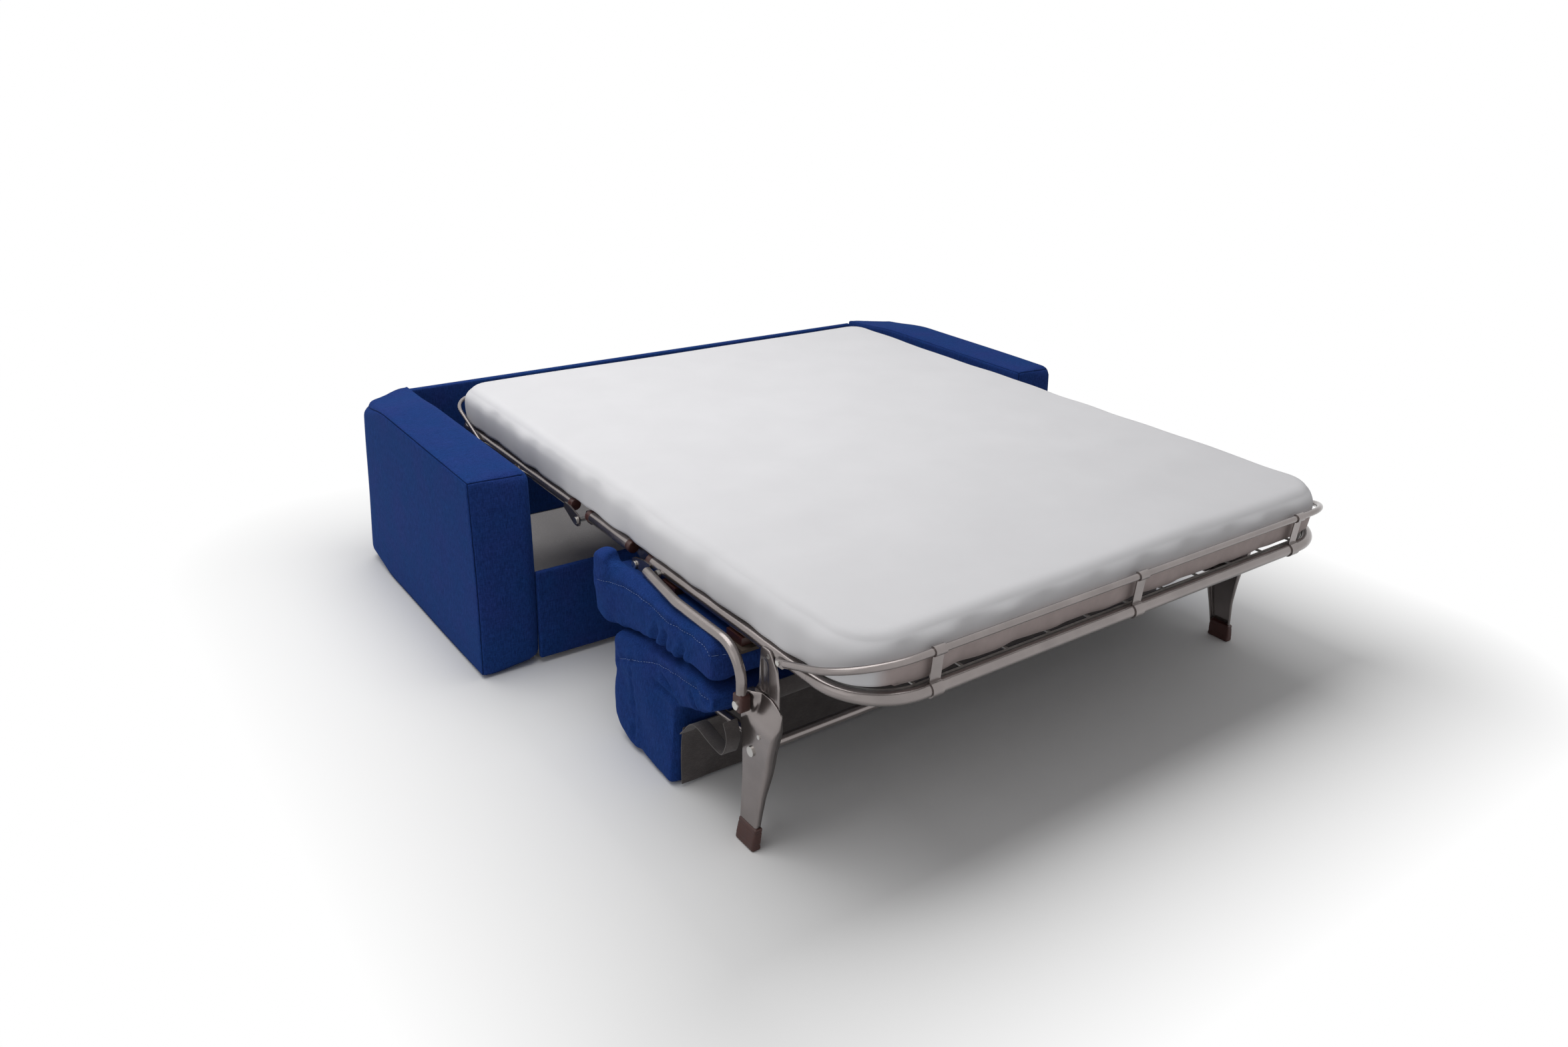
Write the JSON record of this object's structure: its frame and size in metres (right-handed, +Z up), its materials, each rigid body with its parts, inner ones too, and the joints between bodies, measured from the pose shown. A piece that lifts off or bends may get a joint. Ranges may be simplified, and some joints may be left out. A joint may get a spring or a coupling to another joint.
{
  "type": "sofa bed",
  "caption": "Upholstered sofa bed, open as a bed: blue velvet arms and panels, a mattress on a folding steel frame, and a seat and backrest hung below its foot.",
  "frame": {"origin": "on the floor, at the middle of the open bed's bounding box", "axes": "+X to the sitter's left as seen from the bed's foot towards the sofa's right arm, +Y towards the sofa's back, +Z up"},
  "size_m": [2.175, 2.23, 0.599],
  "materials": {
    "velvet": "deep blue short-pile upholstery velvet",
    "lining": "plain spunbond lining cloth",
    "frame_paint": "taupe gloss powder coat",
    "mesh_wire": "grey powder-coated wire net",
    "steel": "zinc-plated steel",
    "brown_plastic": "dark brown moulded plastic",
    "board": "plain plywood",
    "mattress_cover": "white woven cotton fitted cover",
    "felt": "grey needled felt"
  },
  "bodies": {
    "shell": {"left_arm": "velvet", "right_arm": "velvet", "back_panel": "velvet", "front_panel": "velvet", "bottom_cover": "lining", "floor_glides": "brown_plastic", "bracket_plates": "frame_paint", "bracket_bolts": "steel", "link_pivots": "steel"},
    "front_links": {"left_front_link": "frame_paint", "right_front_link": "frame_paint"},
    "rear_links": {"left_rear_link": "frame_paint", "right_rear_link": "frame_paint"},
    "base": {"left_base_rail": "frame_paint", "right_base_rail": "frame_paint", "base_hinge_lugs": "frame_paint", "base_braces": "frame_paint", "head_tube": "frame_paint", "head_retaining_bar": "frame_paint", "front_link_shaft": "steel", "rear_link_shaft": "steel", "base_mesh": "mesh_wire", "base_mattress": "mattress_cover"},
    "knee": {"left_knee_rail": "frame_paint", "right_knee_rail": "frame_paint", "knee_lugs": "frame_paint", "knee_pins": "steel", "knee_braces": "frame_paint", "knee_mesh": "mesh_wire", "knee_mattress": "mattress_cover"},
    "foot": {"left_foot_rail": "frame_paint", "right_foot_rail": "frame_paint", "foot_hinge_lugs": "frame_paint", "foot_braces": "frame_paint", "foot_tube": "frame_paint", "foot_mesh": "mesh_wire", "foot_retaining_bar": "frame_paint", "bar_brackets": "frame_paint", "retaining_straps": "frame_paint", "foot_mattress": "mattress_cover", "left_seat_tube": "frame_paint", "right_seat_tube": "frame_paint", "seat_tube_bosses": "steel", "pivot_caps": "brown_plastic", "pivot_pins": "steel", "hanger_rivets": "steel", "leg_hangers": "frame_paint", "seat_board": "board", "seat_spacers": "brown_plastic", "seat_cushion": "velvet"},
    "backrest": {"backrest_cushion": "velvet", "backrest_frame": "frame_paint", "left_leg": "frame_paint", "right_leg": "frame_paint", "boots": "brown_plastic", "leg_cross_tube": "frame_paint", "leg_rivets": "steel", "felt_lining": "felt", "felt_flaps": "felt"}
  },
  "joints": [
    {"name": "bed_fold", "type": "hinge", "parent": "shell", "child": "front_links", "pos_m": [0, 0.22005, 0.132], "axis": [-1, 0, 0], "range_deg": [0, 65.59]},
    {"name": "rear_link_swing", "type": "hinge", "parent": "shell", "child": "rear_links", "pos_m": [0, 0.52005, 0.132], "axis": [-1, 0, 0], "range_deg": [0, 65.59]},
    {"name": "base_level", "type": "hinge", "parent": "front_links", "child": "base", "pos_m": [0, 0.46505, 0.442], "axis": [-1, 0, 0], "range_deg": [-65.59, 0]},
    {"name": "rear_knee", "type": "hinge", "parent": "base", "child": "knee", "pos_m": [0, 0.07305, 0.442], "axis": [-1, 0, 0], "range_deg": [0, 89], "deforming": ["knee_mattress"]},
    {"name": "front_knee", "type": "hinge", "parent": "knee", "child": "foot", "pos_m": [0, -0.24495, 0.442], "axis": [-1, 0, 0], "range_deg": [0, 91]},
    {"name": "backrest_turn", "type": "hinge", "parent": "foot", "child": "backrest", "pos_m": [0, -0.76995, 0.338], "axis": [-1, 0, 0], "range_deg": [0, 94]}
  ],
  "couplings": [
    {"joint": "rear_link_swing", "follows": "bed_fold", "ratio": 1},
    {"joint": "base_level", "follows": "bed_fold", "ratio": -1},
    {"joint": "rear_knee", "follows": "bed_fold", "ratio": 1.3569},
    {"joint": "front_knee", "follows": "bed_fold", "ratio": 1.3874},
    {"joint": "backrest_turn", "follows": "bed_fold", "ratio": 1.4331}
  ]
}
